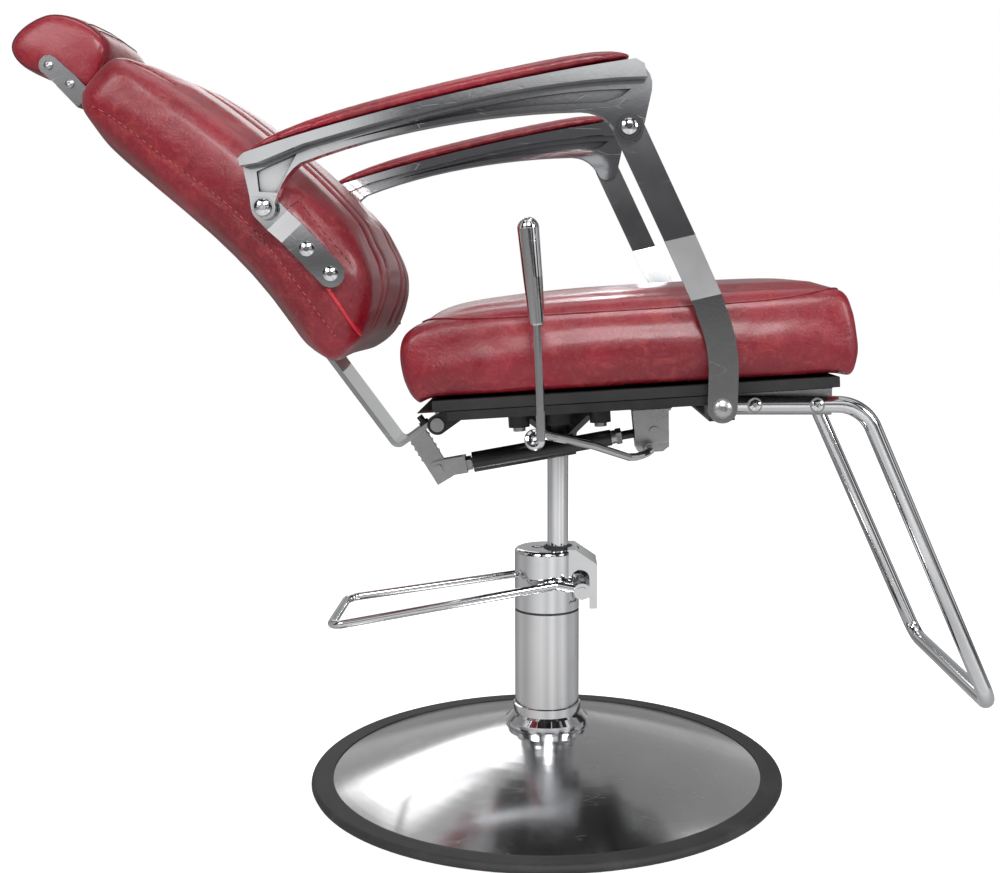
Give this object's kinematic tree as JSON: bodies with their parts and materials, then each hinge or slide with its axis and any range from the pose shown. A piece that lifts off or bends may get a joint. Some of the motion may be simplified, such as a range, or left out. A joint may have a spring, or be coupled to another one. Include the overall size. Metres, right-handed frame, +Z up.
{
  "type": "hydraulic barber chair",
  "caption": "Reclining salon chair on a hydraulic pump column and round base, with linked armrests, locking recline strut, sliding headrest and tubular footrest.",
  "frame": {"origin": "centre of the round base on the floor", "axes": "+X towards the chair's front, +Y to its left, +Z up"},
  "size_m": [1.1707, 0.61, 0.9587],
  "materials": {
    "chrome": "polished",
    "zinc_steel": "zinc plated, satin",
    "grey_steel": "dark grey, satin",
    "black_steel": "black, semi-gloss",
    "rubber": "matt black",
    "black_sheet": "matt black",
    "red_leather": "marbled red, semi-gloss"
  },
  "bodies": {
    "base": {"base_dome": "chrome", "base_ring": "rubber", "base_plate": "grey_steel", "base_bolts": "zinc_steel", "base_collar": "chrome", "pump_barrel": "grey_steel", "pump_cover": "chrome", "pump_seal": "rubber", "pump_head": "chrome", "filler_screw": "zinc_steel", "piston_wiper": "rubber", "pedal_hood": "chrome", "pedal_lug": "grey_steel"},
    "pedal": {"pump_pedal": "chrome", "pedal_shaft": "zinc_steel"},
    "column": {"piston": "chrome"},
    "seat": {"seat_mount": "black_steel", "mount_bolts": "zinc_steel", "seat_frame": "black_steel", "dust_cover": "black_sheet", "seat_board": "black_sheet", "seat_cushion": "red_leather", "hinge_pin": "zinc_steel", "strut_bracket": "zinc_steel", "strut_pin": "zinc_steel", "lever_sleeve": "zinc_steel", "footrest_tube": "chrome", "footrest_plates": "zinc_steel", "footrest_bolts": "chrome", "upright_bolts": "zinc_steel"},
    "back": {"back_strap": "chrome", "strap_screws": "zinc_steel", "strut_lever": "zinc_steel", "stop_screw": "black_steel", "back_cushion": "red_leather", "back_bracket_right": "chrome", "back_bracket_left": "chrome", "bracket_screws": "zinc_steel", "arm_rear_bolts": "zinc_steel", "headrest_socket": "zinc_steel"},
    "headrest": {"headrest_cushion": "red_leather", "headrest_bracket": "zinc_steel", "headrest_screws": "zinc_steel"},
    "arm_right": {"arm_frame_right": "chrome", "arm_pad_right": "red_leather", "arm_bolt_right": "zinc_steel"},
    "arm_left": {"arm_frame_left": "chrome", "arm_pad_left": "red_leather", "arm_bolt_left": "zinc_steel"},
    "bar_right": {"upright_right": "chrome"},
    "bar_left": {"upright_left": "chrome"},
    "strut": {"strut_cylinder": "black_steel", "strut_nut": "zinc_steel"},
    "strut_end": {"strut_rod": "zinc_steel", "strut_clevis": "zinc_steel", "clevis_pin": "zinc_steel"},
    "lever": {"release_lever": "chrome", "lever_grip": "chrome"}
  },
  "joints": [
    {"name": "column_lift", "type": "slide", "parent": "base", "child": "column", "axis": [0, 0, 1], "range_m": [-0.105, 0.03]},
    {"name": "swivel", "type": "hinge", "parent": "column", "child": "seat", "pos_m": [0.014, 0, 0.45], "axis": [0, 0, 1], "continuous": true},
    {"name": "pedal_press", "type": "hinge", "parent": "base", "child": "pedal", "pos_m": [0.044, 0, 0.257], "axis": [0, -1, 0], "range_deg": [0, 20], "stiffness_Nm_per_rad": 20, "springref_deg": -11.46},
    {"name": "back_recline", "type": "hinge", "parent": "seat", "child": "back", "pos_m": [-0.135, 0, 0.467], "axis": [0, 1, 0], "range_deg": [0, 25]},
    {"name": "arm_right_pivot", "type": "hinge", "parent": "back", "child": "arm_right", "pos_m": [-0.299, -0.254, 0.72], "axis": [0, 1, 0], "range_deg": [-21, 0]},
    {"name": "arm_left_pivot", "type": "hinge", "parent": "back", "child": "arm_left", "pos_m": [-0.299, 0.254, 0.72], "axis": [0, 1, 0], "range_deg": [-21, 0]},
    {"name": "bar_right_pivot", "type": "hinge", "parent": "seat", "child": "bar_right", "pos_m": [0.191, -0.2425, 0.505], "axis": [0, 1, 0], "range_deg": [0, 23.5]},
    {"name": "bar_left_pivot", "type": "hinge", "parent": "seat", "child": "bar_left", "pos_m": [0.191, 0.2425, 0.505], "axis": [0, 1, 0], "range_deg": [0, 23.5]},
    {"name": "strut_pivot", "type": "hinge", "parent": "seat", "child": "strut", "pos_m": [0.132, -0.044, 0.4595], "axis": [0, 1, 0], "range_deg": [0, 1.8]},
    {"name": "strut_slide", "type": "slide", "parent": "strut", "child": "strut_end", "axis": [-0.9842, 0, -0.1773], "range_m": [0, 0.0235]},
    {"name": "lever_pull", "type": "hinge", "parent": "seat", "child": "lever", "pos_m": [0.1246, -0.044, 0.44], "axis": [0, 1, 0], "range_deg": [-12, 0], "stiffness_Nm_per_rad": 6, "springref_deg": 11.46},
    {"name": "headrest_slide", "type": "slide", "parent": "back", "child": "headrest", "axis": [-0.6884, 0, 0.7254], "range_m": [0, 0.08]}
  ],
  "couplings": [
    {"joint": "arm_right_pivot", "follows": "back_recline", "ratio": -0.8307},
    {"joint": "arm_left_pivot", "follows": "back_recline", "ratio": -0.8307},
    {"joint": "bar_right_pivot", "follows": "back_recline", "ratio": 0.9308},
    {"joint": "bar_left_pivot", "follows": "back_recline", "ratio": 0.9308},
    {"joint": "strut_pivot", "follows": "back_recline", "ratio": 0.0652},
    {"joint": "strut_slide", "follows": "back_recline", "m_per_rad": 0.052}
  ]
}
